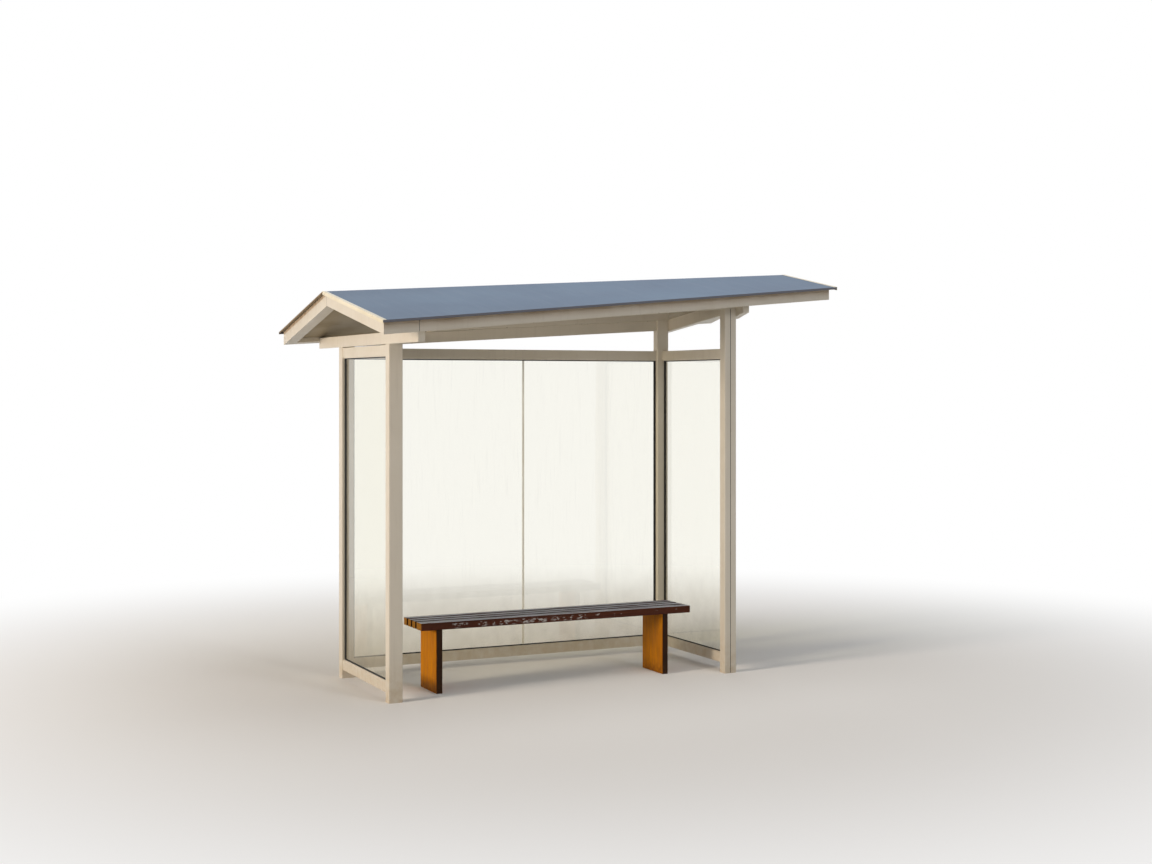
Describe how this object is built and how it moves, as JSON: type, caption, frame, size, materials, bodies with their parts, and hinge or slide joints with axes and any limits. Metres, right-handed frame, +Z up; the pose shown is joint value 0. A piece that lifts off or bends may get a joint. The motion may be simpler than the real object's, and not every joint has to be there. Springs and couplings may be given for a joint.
{
  "type": "bus shelter",
  "caption": "Open-fronted shelter: four posts with glass on three sides, a raking gable roof with an oblique front eave, and a loose timber bench.",
  "frame": {"origin": "on the ground under the middle of the roof's outline", "axes": "+X along the shelter towards its higher, right-hand end, +Y towards the glazed back, +Z up"},
  "size_m": [3.641, 2.308, 2.8927],
  "materials": {
    "frame_paint": "satin powder coat, cream white",
    "roof_paint": "satin coil coat, blue grey",
    "soffit_paint": "matt paint, cream",
    "clear_glass": "clear toughened glass",
    "black_rubber": "matt black glazing rubber",
    "clear_strip": "translucent jointing strip",
    "seat_timber": "weathered dark stained boards",
    "leg_timber": "orange brown stained timber",
    "zinc_steel": "dulled zinc plated screws"
  },
  "bodies": {
    "root": {"front_left_post": "frame_paint", "back_left_post": "frame_paint", "front_right_post": "frame_paint", "back_right_post": "frame_paint", "left_top_rail": "frame_paint", "left_bottom_rail": "frame_paint", "back_top_rail": "frame_paint", "back_bottom_rail": "frame_paint", "right_top_rail": "frame_paint", "right_bottom_rail": "frame_paint", "left_cross_beam": "frame_paint", "right_cross_beam": "frame_paint", "right_outrigger": "frame_paint", "back_beam": "frame_paint", "back_purlin": "frame_paint", "front_purlin": "frame_paint", "front_left_barge": "frame_paint", "back_left_barge": "frame_paint", "front_right_barge": "frame_paint", "back_right_barge": "frame_paint", "front_left_fascia": "frame_paint", "front_right_fascia": "frame_paint", "back_fascia": "frame_paint", "left_verge_trim": "frame_paint", "right_verge_trim": "frame_paint", "front_roof_sheet": "roof_paint", "back_roof_sheet": "roof_paint", "front_soffit": "soffit_paint", "back_soffit": "soffit_paint", "left_glass": "clear_glass", "back_left_glass": "clear_glass", "back_right_glass": "clear_glass", "right_glass": "clear_glass", "left_gasket": "black_rubber", "back_gasket": "black_rubber", "right_gasket": "black_rubber", "back_glass_joint": "clear_strip", "seat_board_1": "seat_timber", "seat_board_2": "seat_timber", "seat_board_3": "seat_timber", "seat_board_4": "seat_timber", "left_bench_leg": "leg_timber", "right_bench_leg": "leg_timber"}
  },
  "joints": []
}
